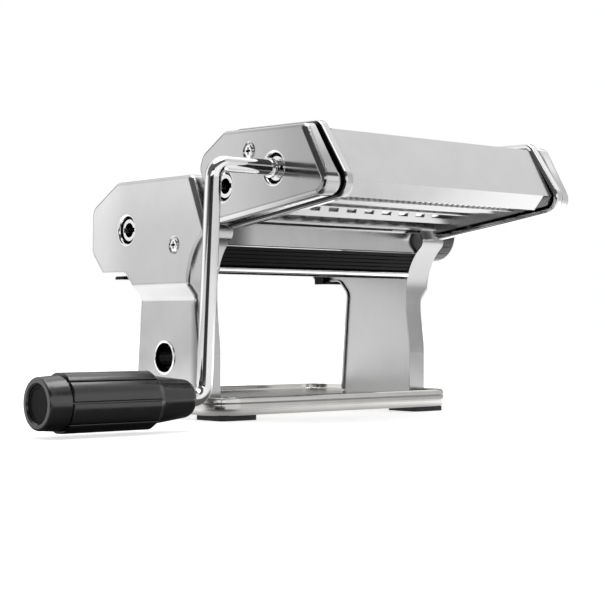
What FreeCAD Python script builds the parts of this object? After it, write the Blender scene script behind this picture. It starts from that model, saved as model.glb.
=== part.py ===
import FreeCAD, Part
import math
import os

V = FreeCAD.Vector

# ----------------------------------------------------------------------------
# Hand-cranked sheet roller with a two-width cutter head, millimetres, +Z up.
# +X runs along the rollers from the crank side (-X) to the knob side (+X),
# -Y is the front, where the cut strands leave, and Z = 0 is the table.
# The shapes are laid out in a working frame whose origin lies under the body
# and are moved by SHIFT at the end, so that the origin of the finished part is
# the centre of the bottom of its bounding box.
# ----------------------------------------------------------------------------
SHIFT = V(54.9, 40.5, 0.0)

# overall
FACE_X = 89.0            # outer face of the side covers
LEG_X = 83.5             # outer face of the legs, set in by the joggle
OPEN_X = 70.0            # inner edge of the side-cover flanges
PLATE_IN = 71.2          # inner face of the frame plates
PLATE_OUT = 73.0         # outer face of the frame plates
SHEET = 0.8              # side-cover sheet thickness
JOG_UP, JOG_DOWN = 70.9, 64.1   # top and bottom of the joggle on the legs
BEND = 5.0               # bend radius of the joggle

# base
BASE_X = 87.0
BASE_Y0, BASE_Y1 = -58.0, 66.0
BASE_BOTTOM, BASE_FLAT, BASE_RIM = 2.9, 9.7, 12.5
BASE_R = 15.0

# smooth rollers
ROLL_R, ROLL_HALF = 13.5, 69.0
DRIVE_Y, DRIVE_Z = 22.8, 102.4
ADJ_Y, ADJ_Z = -7.2, 104.0     # axis of the adjustable roller, widest setting
ADJ_TRAVEL = 2.5
SHAFT_R = 6.0                  # crank-side journal of a driven roller
SOCKET_R = 4.05                # crank socket
CRANK_R = 4.0                  # crank rod
RUN = 0.05                     # radial running clearance
SOCKET_X = -87.2               # mouth of the crank sockets
RING_R, ROLL = 8.9, 1.5        # eyelets round the sockets and their rolled edge
SEAT = 1.1                     # depth of the pressed screw seats

# setting shaft with its cams and knob
REG_Y, REG_Z, REG_R = -25.0, 104.0, 3.5
CAM_MIN, CAM_RISE = 5.2, 2.5
KNOB_R = 15.5

# cutter head: flat face of the end caps (Y, Z, corner radius), and the foot of
# their wall at the groove; the wall leans out towards the nose
CAP = [(-127.9, 145.3, 3.0), (-64.8, 147.0, 3.0), (-47.4, 137.2, 6.0),
       (-44.9, 131.4, 5.0), (-57.5, 103.3, 3.0), (-144.9, 113.55, 6.0)]
CAP_FOOT = [(-126.8, 147.9, 4.2), (-64.0, 149.6, 4.2), (-45.4, 139.1, 7.0),
            (-42.4, 131.2, 6.0), (-55.9, 100.6, 4.2), (-151.2, 112.95, 6.9)]
CAP_ROLL = 1.6                 # unfilleted wall edge outside the flat face
BEAD = 1.3                     # height of the rolled bead over the wall
GROOVE, GROOVE_W = 0.9, 2.6    # depth and width of the groove in front of the bead
BEAD_X0, BEAD_X1 = 79.0, 73.6
CUT_R, CUT_CORE = 10.0, 8.8    # disc and core radius of the cutting rollers
A1 = (-105.4, 126.7)           # narrow pair, driven
A2 = (-124.2, 122.9)           # narrow pair, follower
B1 = (-64.4, 120.8)            # wide pair, driven
B2 = (-83.1, 125.2)            # wide pair, follower

# crank
ARM_X = -125.5
GRIP_Y, GRIP_Z = -98.0, 15.3
BEND_R = 6.5

# side cover outline (Y, Z, corner radius)
SIDE = [(-36.5, 129.0, 3.5), (33.3, 129.4, 5.0), (58.6, 116.0, 7.0),
        (59.2, 90.5, 8.0), (46.8, 76.9, 5.0), (24.5, 76.9, 5.0),
        (17.2, 69.3, 6.0), (22.8, 10.0, 2.5), (-38.0, 10.0, 2.5),
        (-38.0, 38.0, 60.0), (-35.2, 58.0, 60.0), (-35.2, 85.2, 32.0),
        (-50.0, 97.6, 5.0)]

PARTS = {}


def add(name, shape):
    """Store one node; a list of shapes becomes a group of separate solids."""
    if isinstance(shape, (list, tuple)):
        shape = Part.makeCompound(list(shape))
    PARTS[name] = shape


# ----------------------------------------------------------------------------
# geometry helpers
# ----------------------------------------------------------------------------
def poly_area(pts):
    a = 0.0
    for i in range(len(pts)):
        y0, z0 = pts[i][0], pts[i][1]
        y1, z1 = pts[(i + 1) % len(pts)][0], pts[(i + 1) % len(pts)][1]
        a += y0 * z1 - y1 * z0
    return a / 2.0


def offset_poly(pts, d):
    """Move every edge of a closed (Y, Z, radius) polygon outward by d."""
    sign = 1.0 if poly_area(pts) > 0 else -1.0
    n = len(pts)
    out = []
    for i in range(n):
        p, q, r = pts[i - 1], pts[i], pts[(i + 1) % n]
        a = (q[0] - p[0], q[1] - p[1])
        b = (r[0] - q[0], r[1] - q[1])
        la, lb = math.hypot(*a), math.hypot(*b)
        a = (a[0] / la, a[1] / la)
        b = (b[0] / lb, b[1] / lb)
        na = (a[1] * sign, -a[0] * sign)
        nb = (b[1] * sign, -b[0] * sign)
        k = 1.0 + na[0] * nb[0] + na[1] * nb[1]
        y = q[0] + d * (na[0] + nb[0]) / k
        z = q[1] + d * (na[1] + nb[1]) / k
        turn = (a[0] * b[1] - a[1] * b[0]) * sign
        rad = q[2] + d if turn > 0 else q[2] - d
        out.append((y, z, max(rad, 0.25)))
    return out


def ring(pts, to3):
    """Closed wire through rounded polygon corners; to3 maps (u, v) to a point."""
    n = len(pts)
    segs = []
    for i in range(n):
        p, q, r = pts[i - 1], pts[i], pts[(i + 1) % n]
        a = (q[0] - p[0], q[1] - p[1])
        b = (r[0] - q[0], r[1] - q[1])
        la, lb = math.hypot(*a), math.hypot(*b)
        a = (a[0] / la, a[1] / la)
        b = (b[0] / lb, b[1] / lb)
        dot = max(-1.0, min(1.0, a[0] * b[0] + a[1] * b[1]))
        turn = math.acos(dot)
        rad = q[2] if len(q) > 2 else 0.0
        if rad < 1e-6 or turn < 1e-4:
            segs.append(((q[0], q[1]), (q[0], q[1]), None))
            continue
        t = rad * math.tan(turn / 2.0)
        s = (q[0] - a[0] * t, q[1] - a[1] * t)
        e = (q[0] + b[0] * t, q[1] + b[1] * t)
        bis = (b[0] - a[0], b[1] - a[1])
        lbis = math.hypot(*bis)
        k = rad * (1.0 / math.cos(turn / 2.0) - 1.0)
        m = (q[0] + bis[0] / lbis * k, q[1] + bis[1] / lbis * k)
        segs.append((s, e, m))
    edges = []
    for i in range(n):
        s, e, m = segs[i]
        if m is not None:
            edges.append(Part.Arc(to3(*s), to3(*m), to3(*e)).toShape())
        nxt = segs[(i + 1) % n][0]
        if math.hypot(nxt[0] - e[0], nxt[1] - e[1]) > 1e-5:
            edges.append(Part.LineSegment(to3(*e), to3(*nxt)).toShape())
    return Part.Wire(edges)


def yz(x):
    return lambda u, v: V(x, u, v)


def prism_x(pts, x0, x1):
    return Part.Face(ring(pts, yz(x0))).extrude(V(x1 - x0, 0, 0))


def prism_z(pts, z0, z1):
    return Part.Face(ring(pts, lambda u, v: V(u, v, z0))).extrude(V(0, 0, z1 - z0))


def box(x0, x1, y0, y1, z0, z1):
    return Part.makeBox(x1 - x0, y1 - y0, z1 - z0, V(x0, y0, z0))


def cyl_x(r, x0, x1, y, z):
    return Part.makeCylinder(r, x1 - x0, V(x0, y, z), V(1, 0, 0))


def cyl_z(r, z0, z1, x, y):
    return Part.makeCylinder(r, z1 - z0, V(x, y, z0), V(0, 0, 1))


def revolve_x(profile, y, z):
    """Turn a closed (x, r) profile about the X line through (y, z)."""
    pts = [V(p[0], y, z + p[1]) for p in profile]
    pts.append(pts[0])
    return Part.Face(Part.makePolygon(pts)).revolve(V(0, y, z), V(1, 0, 0), 360)


def strip(pts, t, x0, x1, side=1):
    """Bent sheet: an open (Y, Z) line, thickened by t to one side, along X."""
    left = []
    n = len(pts)
    for i in range(n):
        if i == 0:
            d = (pts[1][0] - pts[0][0], pts[1][1] - pts[0][1])
            dirs = [d]
        elif i == n - 1:
            d = (pts[-1][0] - pts[-2][0], pts[-1][1] - pts[-2][1])
            dirs = [d]
        else:
            dirs = [(pts[i][0] - pts[i - 1][0], pts[i][1] - pts[i - 1][1]),
                    (pts[i + 1][0] - pts[i][0], pts[i + 1][1] - pts[i][1])]
        ns = []
        for d in dirs:
            ln = math.hypot(*d)
            ns.append((-d[1] / ln * side, d[0] / ln * side))
        if len(ns) == 1:
            off = ns[0]
        else:
            k = 1.0 + ns[0][0] * ns[1][0] + ns[0][1] * ns[1][1]
            off = ((ns[0][0] + ns[1][0]) / k, (ns[0][1] + ns[1][1]) / k)
        left.append((pts[i][0] + off[0] * t, pts[i][1] + off[1] * t))
    loop = list(pts) + left[::-1]
    w = Part.makePolygon([V(x0, p[0], p[1]) for p in loop] + [V(x0, loop[0][0], loop[0][1])])
    return Part.Face(w).extrude(V(x1 - x0, 0, 0))


def mirror_x(s):
    return s.mirror(V(0, 0, 0), V(1, 0, 0))


def fuse(shapes):
    s = shapes[0]
    if len(shapes) > 1:
        s = s.multiFuse(shapes[1:])
    return s.removeSplitter()


def fillet_where(s, r, test):
    edges = [e for e in s.Edges if test(e)]
    if not edges:
        return s
    return s.makeFillet(r, edges)


def mid(e):
    a, b = e.ParameterRange
    return e.valueAt((a + b) / 2.0)


def gear_face(module, teeth, r_tip, r_root, phase, backlash, x, y, z, pa=25.0):
    """Involute spur gear outline in the plane X = x, one tooth at angle phase."""
    rp = module * teeth / 2.0
    rb = rp * math.cos(math.radians(pa))

    def inv(r):
        if r <= rb:
            return 0.0
        a = math.acos(rb / r)
        return math.tan(a) - a
    half = math.pi / (2.0 * teeth) - backlash / (2.0 * rp)
    base = inv(rp)
    radii = []
    r0 = max(rb, r_root)
    steps = 5
    for i in range(steps + 1):
        radii.append(r0 + (r_tip - r0) * i / float(steps))
    pts = []
    for k in range(teeth):
        c = phase + 2.0 * math.pi * k / teeth
        flank = [(r, half + base - inv(r)) for r in radii]
        if r_root < rb:
            flank = [(r_root, flank[0][1])] + flank
        for r, a in flank:
            pts.append((r, c - a))
        for r, a in flank[::-1]:
            pts.append((r, c + a))
    vs = [V(x, y + r * math.cos(a), z + r * math.sin(a)) for r, a in pts]
    vs.append(vs[0])
    return Part.Face(Part.makePolygon(vs))


def cross_recess(r, depth, x_face, sx, y, z):
    """Cross slot sunk from x_face into the head, sx = +1 when it opens to +X."""
    x0, x1 = (x_face - depth, x_face + 1.0) if sx > 0 else (x_face - 1.0, x_face + depth)
    return fuse([box(x0, x1, y - 0.55, y + 0.55, z - r, z + r),
                 box(x0, x1, y - r, y + r, z - 0.55, z + 0.55)])


def screw_x(x_seat, sx, y, z, head_r=4.0, head_h=1.7, shank_r=1.9, length=9.0):
    """Domed cross-slot screw; the head stands on x_seat and points to sx."""
    prof = [(0.0, 0.0), (0.0, head_r - 0.5)]
    for i in range(0, 7):
        a = math.radians(90.0 * i / 6.0)
        prof.append((head_h - 0.9 + 0.9 * math.sin(a), head_r - 1.6 + 1.6 * math.cos(a)))
    prof.append((head_h, 0.0))
    prof[1] = (0.0, head_r)
    head = revolve_x(prof, y, z)
    shank = cyl_x(shank_r, -length, 0.2, y, z)
    s = fuse([head, shank]).cut(cross_recess(head_r * 0.52, 1.0, head_h, 1, y, z))
    if sx < 0:
        s = mirror_x(s)
    s.translate(V(x_seat, 0, 0))
    return s


def seated(shell, y, z):
    """Press a round seat for a screw head into a cover at -X and drill it."""
    pad = revolve_x([(-FACE_X + SHEET - 0.1, 0.0), (-FACE_X + SHEET - 0.1, 5.4), (-FACE_X + SEAT + SHEET, 4.2),
                     (-FACE_X + SEAT + SHEET, 0.0)], y, z)
    dish = revolve_x([(-FACE_X - 1.0, 0.0), (-FACE_X - 1.0, 4.9), (-FACE_X, 4.9), (-FACE_X + 0.12, 4.72),
                      (-FACE_X + 0.35, 4.45), (-FACE_X + 0.75, 4.1), (-FACE_X + SEAT - 0.1, 3.85),
                      (-FACE_X + SEAT, 3.6), (-FACE_X + SEAT, 0.0)], y, z)
    return shell.fuse(pad).cut(dish).cut(cyl_x(2.1, -100, -80, y, z))


def socket_ring(y, z):
    """Eyelet in a cover at -X: its edge rolls inwards round a crank socket."""
    a = [math.radians(9.0 * i) for i in range(11)]
    xc = -FACE_X + ROLL
    prof = [(xc - ROLL * math.cos(t), RING_R - ROLL * math.sin(t)) for t in a]
    prof += [(xc + 0.7, RING_R - ROLL), (xc + 0.7, RING_R - ROLL + 0.75)]
    prof += [(xc - (ROLL - 0.75) * math.cos(t), RING_R - (ROLL - 0.75) * math.sin(t)) for t in reversed(a)]
    return revolve_x(prof, y, z)


# ----------------------------------------------------------------------------
# base and feet
# ----------------------------------------------------------------------------
base_pts = [(-BASE_X, BASE_Y0, BASE_R), (BASE_X, BASE_Y0, BASE_R),
            (BASE_X, BASE_Y1, BASE_R), (-BASE_X, BASE_Y1, BASE_R)]


def stack_z(poly, prof):
    """Solid through offset copies of a polygon, one for each (z, offset)."""
    return Part.makeLoft([ring(offset_poly(poly, o), lambda u, v, z=z: V(u, v, z)) for z, o in prof], True, True)


# skirt: slightly barrelled, a pressed line, then the rolled rim
outer = stack_z(base_pts, [(BASE_BOTTOM, -0.95), (3.1, -0.62), (3.5, -0.36), (4.0, -0.20), (4.6, -0.10), (5.4, -0.02),
                           (6.3, 0.0), (7.2, -0.03), (8.0, -0.10), (8.6, -0.20), (8.95, -0.30), (9.05, -0.75),
                           (9.45, -0.75), (9.55, -0.16), (10.3, -0.26), (11.0, -0.38), (11.6, -0.56),
                           (12.0, -0.82), (12.3, -1.22), (BASE_RIM, -1.8)])
well = stack_z(base_pts, [(BASE_FLAT, -4.4), (9.76, -4.02), (9.96, -3.70), (10.25, -3.50), (10.7, -3.40),
                          (11.9, -3.12), (12.2, -3.02), (12.4, -2.88), (BASE_RIM, -2.65), (BASE_RIM + 2, -2.65)])
under = prism_z(offset_poly(base_pts, -1.25), BASE_BOTTOM - 1, BASE_FLAT - 1.0)
under = fillet_where(under, 1.2, lambda e: abs(mid(e).z - (BASE_FLAT - 1.0)) < 1e-3)
base = outer.cut(well).cut(under)
BASE_SCREWS = [(-78.0, -22.0), (-78.0, 8.0), (78.0, -22.0), (78.0, 8.0)]
for sx_, sy_ in BASE_SCREWS:
    base = base.cut(cyl_z(2.1, 0, 14, sx_, sy_))
add("base_tray", base)

feet = []
for fx in (-1, 1):
    for fy0, fy1 in ((-54.6, -31.5), (39.5, 62.6)):
        xa, xb = (-81.8, -58.0) if fx < 0 else (58.0, 81.8)
        f = prism_z([(xa, fy0, 2.0), (xb, fy0, 2.0), (xb, fy1, 2.0), (xa, fy1, 2.0)], 0.0, BASE_FLAT - 1.0)
        feet.append(f)
# the corners of the pads follow the round corners of the base
inner_corner = prism_z(offset_poly(base_pts, -1.3), -1, 12)
add("rubber_feet", [f.common(inner_corner).cut(base) for f in feet])


# ----------------------------------------------------------------------------
# side covers
# ----------------------------------------------------------------------------
def side_pan(off, x_open, x_up, x_leg, fil, drop=None):
    pts = offset_poly(SIDE, off)
    if drop is not None:
        pts = [(p[0], drop, 0.3) if p[1] < 20 else p for p in pts]
    a = prism_x(pts, x_open, x_leg)
    b = prism_x(pts, x_leg, x_up)
    wedge = Part.Face(Part.makePolygon([
        V(x_leg, -90, JOG_DOWN), V(x_up, -90, JOG_UP), V(x_up, -90, 160),
        V(x_leg, -90, 160), V(x_leg, -90, JOG_DOWN)])).extrude(V(0, 200, 0))
    b = b.common(wedge)
    s = a.fuse(b).removeSplitter()

    def bend(e):
        ends = [v.Point for v in e.Vertexes]
        if len(ends) < 2 or abs(ends[0].y - ends[1].y) < 20 or abs(ends[0].z - ends[1].z) > 0.02:
            return False
        return abs(mid(e).z - JOG_UP) < 0.05 or abs(mid(e).z - JOG_DOWN) < 0.05
    s = fillet_where(s, BEND, bend)

    def rim(e):
        ends = [v.Point for v in e.Vertexes]
        if len(ends) < 2 or abs(mid(e).x - x_open) < 0.05:
            return False
        along_x = abs(ends[0].y - ends[1].y) < 0.02 and abs(ends[0].z - ends[1].z) < 0.02
        across = abs(ends[0].z - ends[1].z) < 0.02 and abs(ends[0].y - ends[1].y) > 20
        across = across and 55.0 < mid(e).z < 75.0
        return not along_x and not across
    return fillet_where(s, fil, rim)


pan = side_pan(0.0, -OPEN_X, -FACE_X, -LEG_X, 3.0)
void = side_pan(-SHEET, -OPEN_X + 3, -FACE_X + SHEET, -LEG_X + SHEET, 2.2, drop=4.0)
cover = pan.cut(void)
EYE_Y, EYE_Z = -6.1, 32.4
SCREW_Y, SCREW_Z = -22.2, 92.4
FAR_SCREW_Y, FAR_SCREW_Z = 44.0, 98.0
near = seated(cover, SCREW_Y, SCREW_Z).cut(cyl_x(RING_R, -100, -80, DRIVE_Y, DRIVE_Z))
near = near.cut(cyl_x(8.7, -100, -80, EYE_Y, EYE_Z))
add("crank_side_cover", near)
far = mirror_x(seated(cover, FAR_SCREW_Y, FAR_SCREW_Z)).cut(cyl_x(4.3, 80, 100, REG_Y, REG_Z))
slot = []
for i in range(10):
    a = math.radians(20.0 * i)
    slot.append(cyl_x(2.5, 80, 100, REG_Y + 12.0 * math.cos(a), REG_Z + 12.0 * math.sin(a)))
far = far.cut(fuse(slot))
add("knob_side_cover", far)

# ring round the crank socket in the crank-side cover
add("drive_socket_ring", socket_ring(DRIVE_Y, DRIVE_Z))

# eyelet of the clamp hole, through the leg and its frame plate
eye = revolve_x([(-84.2, 8.3), (-84.0, 9.2), (-83.5, 9.3), (-83.5, 8.6), (-70.9, 8.6),
                 (-70.9, 9.2), (-70.3, 9.2), (-70.1, 8.4), (-70.3, 8.0), (-84.0, 8.0)],
                EYE_Y, EYE_Z)
eye = eye.cut(revolve_x([(-73.0, 8.6), (-73.0, 9.4), (-70.9, 9.4), (-70.9, 8.6)], EYE_Y, EYE_Z))
add("clamp_hole_eyelet", eye)


# ----------------------------------------------------------------------------
# frame plates
# ----------------------------------------------------------------------------
def frame_plate():
    pts = offset_poly(SIDE, -1.3)
    pts = [(p[0], BASE_FLAT, 0.3) if p[1] < 20 else p for p in pts]
    s = prism_x(pts, -PLATE_OUT, -PLATE_IN)
    foot = box(-84.0 + 2.2, -PLATE_OUT, -30.0, 16.0, BASE_FLAT, BASE_FLAT + 1.8)
    for sx_, sy_ in BASE_SCREWS[:2]:
        foot = foot.cut(cyl_z(1.7, 0, 14, sx_, sy_))
    s = fuse([s, foot])
    s = s.cut(cyl_x(8.0, -82, -70, DRIVE_Y, DRIVE_Z))
    s = s.cut(box(-82, -70, ADJ_Y - 8.6, 12.0, ADJ_Z - 8.0, ADJ_Z + 8.0))
    s = s.cut(cyl_x(REG_R + 0.06, -82, -70, REG_Y, REG_Z))
    return s


RODS = [(SCREW_Y, SCREW_Z), (FAR_SCREW_Y, FAR_SCREW_Z), (-28.0, 119.0), (38.0, 120.0)]
plate = frame_plate()
near_plate = plate.cut(cyl_x(8.6, -82, -70, EYE_Y, EYE_Z))
for ry, rz in RODS:
    near_plate = near_plate.cut(cyl_x(2.1, -82, -70, ry, rz))
add("crank_side_frame_plate", near_plate)
far_plate = mirror_x(plate)
for ry, rz in RODS:
    far_plate = far_plate.cut(cyl_x(2.1, 70, 82, ry, rz))
add("knob_side_frame_plate", far_plate)

rods = []
for ry, rz in RODS:
    r = cyl_x(3.0, -PLATE_IN, PLATE_IN, ry, rz)
    r = r.cut(cyl_x(1.9, -PLATE_IN - 1, -PLATE_IN + 8, ry, rz)).cut(cyl_x(1.9, PLATE_IN - 8, PLATE_IN + 1, ry, rz))
    rods.append(r)
add("frame_tie_rods", rods)

stand = []
s1 = cyl_x(2.9, -FACE_X + SEAT + SHEET, -PLATE_OUT, SCREW_Y, SCREW_Z).cut(cyl_x(1.9, -100, -70, SCREW_Y, SCREW_Z))
s2 = cyl_x(2.9, PLATE_OUT, FACE_X - SEAT - SHEET, FAR_SCREW_Y, FAR_SCREW_Z).cut(cyl_x(1.9, 70, 100, FAR_SCREW_Y, FAR_SCREW_Z))
add("cover_standoffs", [s1, s2])

add("cover_screws", [
    screw_x(-FACE_X + SEAT, -1, SCREW_Y, SCREW_Z, head_r=3.5, length=20.9, shank_r=1.88),
    screw_x(FACE_X - SEAT, 1, FAR_SCREW_Y, FAR_SCREW_Z, head_r=3.5, length=20.9, shank_r=1.88)])

fs = []
for ry, rz in RODS:
    if (ry, rz) != (SCREW_Y, SCREW_Z):
        fs.append(screw_x(-PLATE_OUT, -1, ry, rz, head_r=2.8, head_h=1.5, length=8.0, shank_r=1.88))
    if (ry, rz) != (FAR_SCREW_Y, FAR_SCREW_Z):
        fs.append(screw_x(PLATE_OUT, 1, ry, rz, head_r=2.8, head_h=1.5, length=8.0, shank_r=1.88))
add("frame_screws", fs)

bs = []
for sx_, sy_ in BASE_SCREWS:
    head = cyl_z(3.6, BASE_FLAT - 3.0, BASE_FLAT - 1.0, sx_, sy_)
    shank = cyl_z(1.68, BASE_FLAT - 1.2, BASE_FLAT + 2.6, sx_, sy_)
    s = fuse([head, shank])
    s = s.cut(box(sx_ - 0.5, sx_ + 0.5, sy_ - 2.0, sy_ + 2.0, BASE_FLAT - 3.2, BASE_FLAT - 2.2))
    s = s.cut(box(sx_ - 2.0, sx_ + 2.0, sy_ - 0.5, sy_ + 0.5, BASE_FLAT - 3.2, BASE_FLAT - 2.2))
    bs.append(s)
add("base_screws", bs)

# ----------------------------------------------------------------------------
# sheet covers, guards and feed plates between the frame plates
# ----------------------------------------------------------------------------
front_sheet = strip([(-4.4, 118.6), (-4.0, 119.5), (-20.5, 128.0), (-33.8, 128.0), (-35.2, 127.2), (-45.1, 105.6),
                                (-45.6, 104.0), (-44.6, 103.3), (-43.2, 103.3), (-43.0, 92.6),
                                (-39.0, 92.0)], 0.7, -PLATE_IN, PLATE_IN, side=1)
add("front_cover_sheet", front_sheet)
rear_sheet = strip([(18.6, 117.8), (18.0, 118.6), (27.5, 128.1), (32.8, 128.1), (56.6, 115.4), (57.5, 113.6),
                    (57.9, 94.0), (56.2, 90.8), (52.6, 90.8)], 0.7, -PLATE_IN, PLATE_IN, side=-1)
add("rear_cover_sheet", rear_sheet)

# black front guard with lengthwise ribs, and the polished bar under it
gp = [(-42.7, 91.7)]
n_rib = 5
y_a, z_a, y_b, z_b = -42.7, 91.7, -36.9, 81.6
for i in range(n_rib):
    t0 = (i + 0.10) / n_rib
    t1 = (i + 0.42) / n_rib
    t2 = (i + 0.58) / n_rib
    t3 = (i + 0.90) / n_rib
    for t, h in ((t0, 0.0), (t1, 0.0), (t2, 0.5), (t3, 0.5)):
        nx, nz = 0.867, 0.498
        gp.append((y_a + (y_b - y_a) * t + nx * h, z_a + (z_b - z_a) * t + nz * h))
gp += [(-36.9, 81.6), (-33.6, 81.6), (-33.6, 78.2), (-34.2, 77.9), (-34.2, 77.2), (-31.2, 77.2),
       (-31.2, 83.6), (-39.4, 91.7)]
front_guard = prism_x(gp, -OPEN_X + 0.1, OPEN_X - 0.1)
add("front_guard", fuse([front_guard, box(-PLATE_IN, PLATE_IN, -34.4, -32.4, 81.7, 83.3)]))
add("front_lower_bar", cyl_x(1.75, -OPEN_X + 0.1, OPEN_X - 0.1, -35.35, 79.8))

rear_guard = prism_x([(56.0, 90.8), (52.6, 90.8), (37.0, 86.6), (37.0, 82.4), (45.6, 82.4)], -PLATE_IN, PLATE_IN)
web = box(-OPEN_X + 0.1, -OPEN_X + 3.1, 36.0, 44.0, 75.4, 84.0)
tab = fuse([box(-85.5, -OPEN_X + 2.0, 31.0, 39.0, 75.4, 76.85), web])
rear_guard = fuse([rear_guard, tab, mirror_x(tab)])
add("rear_guard", rear_guard)

# scraper under the driven roller, fixed between the frame plates
sc = strip([(18.2, 89.2), (19.0, 85.4), (23.0, 83.6), (30.0, 83.6)], 0.8, -68.6, 68.6, side=-1)
sc_bar = fuse([box(-PLATE_IN, PLATE_IN, 24.0, 30.0, 81.6, 82.85), sc])
add("drive_roller_scraper", sc_bar)

# ----------------------------------------------------------------------------
# driven smooth roller
# ----------------------------------------------------------------------------
def socketed(y, z, x_end, depth=17.0):
    """Blind crank socket with a cross keyway, opening towards -X at x_end."""
    bore = cyl_x(SOCKET_R, x_end - 1, x_end + depth, y, z)
    key = box(x_end - 1, x_end + 9.0, y - 5.15, y + 5.15, z - 1.25, z + 1.25)
    return fuse([bore, key])


def smooth_roller(y, z):
    prof = [(-ROLL_HALF, 0), (-ROLL_HALF, ROLL_R - 0.4), (-ROLL_HALF + 0.4, ROLL_R),
            (ROLL_HALF - 0.4, ROLL_R), (ROLL_HALF, ROLL_R - 0.4), (ROLL_HALF, 0)]
    return revolve_x(prof, y, z)


dr = fuse([smooth_roller(DRIVE_Y, DRIVE_Z), cyl_x(SHAFT_R, SOCKET_X, -68.5, DRIVE_Y, DRIVE_Z),
           cyl_x(SHAFT_R, 68.5, 77.0, DRIVE_Y, DRIVE_Z)])
dr = dr.cut(socketed(DRIVE_Y, DRIVE_Z, SOCKET_X))
add("drive_roller", dr)

GM, GT = 27.5 / 14.0, 14
G_TIP, G_ROOT = 15.6, 11.25
line = math.atan2(ADJ_Z - DRIVE_Z, ADJ_Y - DRIVE_Y)
g1 = gear_face(GM, GT, G_TIP, G_ROOT, line, 0.55, -84.0, DRIVE_Y, DRIVE_Z).extrude(V(8.0, 0, 0))
g1 = g1.cut(cyl_x(SHAFT_R, -86, -74, DRIVE_Y, DRIVE_Z))
add("drive_roller_gear", g1)

bushes = []
for sx in (-1, 1):
    b = revolve_x([(-71.2, SHAFT_R + RUN), (-71.2, 8.0), (-73.0, 8.0), (-73.0, 9.6), (-74.0, 9.6),
                   (-74.0, SHAFT_R + RUN)], DRIVE_Y, DRIVE_Z)
    bushes.append(b if sx < 0 else mirror_x(b))
add("drive_roller_bushes", bushes)

# ----------------------------------------------------------------------------
# adjustable smooth roller in its sliding bearing blocks
# ----------------------------------------------------------------------------
ar = fuse([smooth_roller(ADJ_Y, ADJ_Z), cyl_x(5.0, -85.0, -68.5, ADJ_Y, ADJ_Z),
           cyl_x(5.0, 68.5, 77.0, ADJ_Y, ADJ_Z)])
add("adjustable_roller", ar)
back = math.atan2(DRIVE_Z - ADJ_Z, DRIVE_Y - ADJ_Y)
g2 = gear_face(GM, GT, G_TIP, G_ROOT, back + math.pi / GT, 0.55, -84.0, ADJ_Y, ADJ_Z).extrude(V(8.0, 0, 0))
g2 = g2.cut(cyl_x(5.0, -86, -74, ADJ_Y, ADJ_Z))
add("adjustable_roller_gear", g2)

BLOCK_FACE = REG_Y + CAM_MIN + 0.15
blocks = []
for sx in (-1, 1):
    b = fuse([box(-73.1, -70.3, ADJ_Y - 8.0, ADJ_Y + 8.0, ADJ_Z - 7.9, ADJ_Z + 7.9),
              box(-75.0, -73.1, BLOCK_FACE, ADJ_Y + 8.0, ADJ_Z - 10.0, ADJ_Z + 10.0)])
    b = b.cut(cyl_x(5.0 + RUN, -90, -70, ADJ_Y, ADJ_Z))
    blocks.append(b if sx < 0 else mirror_x(b))
add("roller_bearing_blocks", blocks)

asc = strip([(-2.4, 90.6), (-3.6, 84.0), (-6.0, 82.6), (-9.0, 82.6)], 0.8, -70.2, 70.2, side=1)
arms = [box(-70.2, -69.5, -9.0, -4.4, 82.6, 98.0), box(69.5, 70.2, -9.0, -4.4, 82.6, 98.0),
        box(-70.3, -70.1, -9.0, -4.4, 96.3, 98.0), box(70.1, 70.3, -9.0, -4.4, 96.3, 98.0)]
asc = fuse([asc] + arms)
asc = asc.cut(cyl_x(ROLL_R + 0.3, -69.3, 69.3, ADJ_Y, ADJ_Z))
add("adjustable_roller_scraper", asc)


def coil_y(x, y0, y1, z, r, wire, turns):
    """Round-wire coil along Y as a tube swept on a helix."""
    helix = Part.makeHelix((y1 - y0) / float(turns), y1 - y0, r)
    helix.rotate(V(0, 0, 0), V(1, 0, 0), -90)
    helix.translate(V(x, y0, z))
    edge = helix.Edges[0]
    start = edge.valueAt(edge.FirstParameter)
    tan = edge.tangentAt(edge.FirstParameter)
    prof = Part.Wire([Part.makeCircle(wire, start, tan)])
    return Part.Wire(helix.Edges).makePipeShell([prof], True, True)


springs = []
for sx in (-1, 1):
    springs.append(coil_y(sx * 72.1, ADJ_Y + 11.2, 11.6, ADJ_Z, 1.8, 0.3, 6))
add("roller_return_springs", springs)

# ----------------------------------------------------------------------------
# setting shaft, cams, knob
# ----------------------------------------------------------------------------
shaft = fuse([cyl_x(REG_R, -75.6, 98.0, REG_Y, REG_Z), cyl_x(2.4, 98.0, 103.6, REG_Y, REG_Z)])
add("setting_shaft", shaft)

cams = []
for sx in (-1, 1):
    pts = []
    n = 72
    for i in range(n):
        a = -math.pi + 2.0 * math.pi * i / n
        r = CAM_MIN + CAM_RISE * abs(a) / math.pi
        pts.append(V(0, REG_Y + r * math.cos(a), REG_Z + r * math.sin(a)))
    pts.append(pts[0])
    c = Part.Face(Part.makePolygon(pts)).extrude(V(1.8, 0, 0))
    c.translate(V(-75.0 if sx < 0 else 73.2, 0, 0))
    cams.append(c.cut(cyl_x(REG_R, -120, 120, REG_Y, REG_Z)))
add("setting_cams", cams)

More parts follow.
